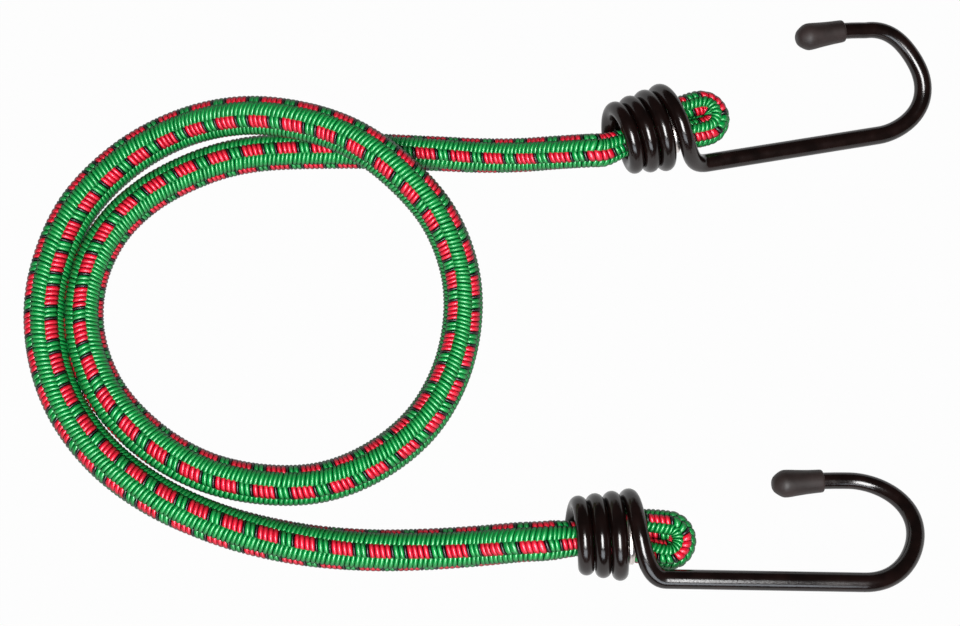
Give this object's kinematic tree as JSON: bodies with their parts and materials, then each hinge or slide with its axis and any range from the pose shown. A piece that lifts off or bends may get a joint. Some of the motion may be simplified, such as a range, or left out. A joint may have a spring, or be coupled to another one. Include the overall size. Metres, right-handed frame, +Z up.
{
  "type": "bungee cord",
  "caption": "Elastic cord in a braided sheath, laid in a loop, with a swivelling coated wire hook coiled round each folded end and a vinyl cap on each hook tip.",
  "frame": {"origin": "on the table, midway between the two hooks in plan", "axes": "+X from the cord's loop towards the hooks, +Y from the lower hook to the upper one across the pair, +Z up from the table"},
  "size_m": [0.229, 0.144, 0.0228],
  "materials": {
    "braid": "braided yarn, green with red and black carriers",
    "core": "natural latex strands",
    "coated_wire": "glossy brown-black coating",
    "vinyl": "matte dipped vinyl",
    "staple": "bright zinc"
  },
  "bodies": {
    "cord": {"sheath_loop": "braid", "core_loop": "core"},
    "lead_a": {"sheath_lead_a": "braid", "core_lead_a": "core"},
    "end_a": {"sheath_neck_a": "braid", "core_neck_a": "core", "sheath_fold_a": "braid", "core_fold_a": "core", "staple_a": "staple"},
    "hook_a": {"hook_wire_a": "coated_wire", "tip_cap_a": "vinyl"},
    "lead_b": {"sheath_lead_b": "braid", "core_lead_b": "core"},
    "end_b": {"sheath_neck_b": "braid", "core_neck_b": "core", "sheath_fold_b": "braid", "core_fold_b": "core", "staple_b": "staple"},
    "hook_b": {"hook_wire_b": "coated_wire", "tip_cap_b": "vinyl"}
  },
  "joints": [
    {"name": "stretch_a", "type": "slide", "parent": "cord", "child": "lead_a", "axis": [1, 0, 0], "range_m": [0, 0.04], "stiffness_N_per_m": 640, "deforming": ["sheath_lead_a", "core_lead_a"]},
    {"name": "swing_a", "type": "hinge", "parent": "lead_a", "child": "end_a", "pos_m": [-0.055, 0.0374, 0.0065], "axis": [0, 0, 1], "range_deg": [-20, 40], "stiffness_Nm_per_rad": 0.02, "deforming": ["sheath_neck_a", "core_neck_a"]},
    {"name": "swivel_a", "type": "hinge", "parent": "end_a", "child": "hook_a", "pos_m": [-0.0336, 0.0398, 0.01307], "axis": [0.9601, 0.2645, -0.0906], "continuous": true},
    {"name": "stretch_b", "type": "slide", "parent": "cord", "child": "lead_b", "axis": [1, 0, 0], "range_m": [0, 0.04], "stiffness_N_per_m": 640, "deforming": ["sheath_lead_b", "core_lead_b"]},
    {"name": "swing_b", "type": "hinge", "parent": "lead_b", "child": "end_b", "pos_m": [-0.067, -0.0608, 0.0058], "axis": [0, 0, 1], "range_deg": [-40, 20], "stiffness_Nm_per_rad": 0.02, "deforming": ["sheath_neck_b", "core_neck_b"]},
    {"name": "swivel_b", "type": "hinge", "parent": "end_b", "child": "hook_b", "pos_m": [-0.0448, -0.0586, 0.01114], "axis": [0.9999, -0.0052, -0.0157], "continuous": true}
  ]
}
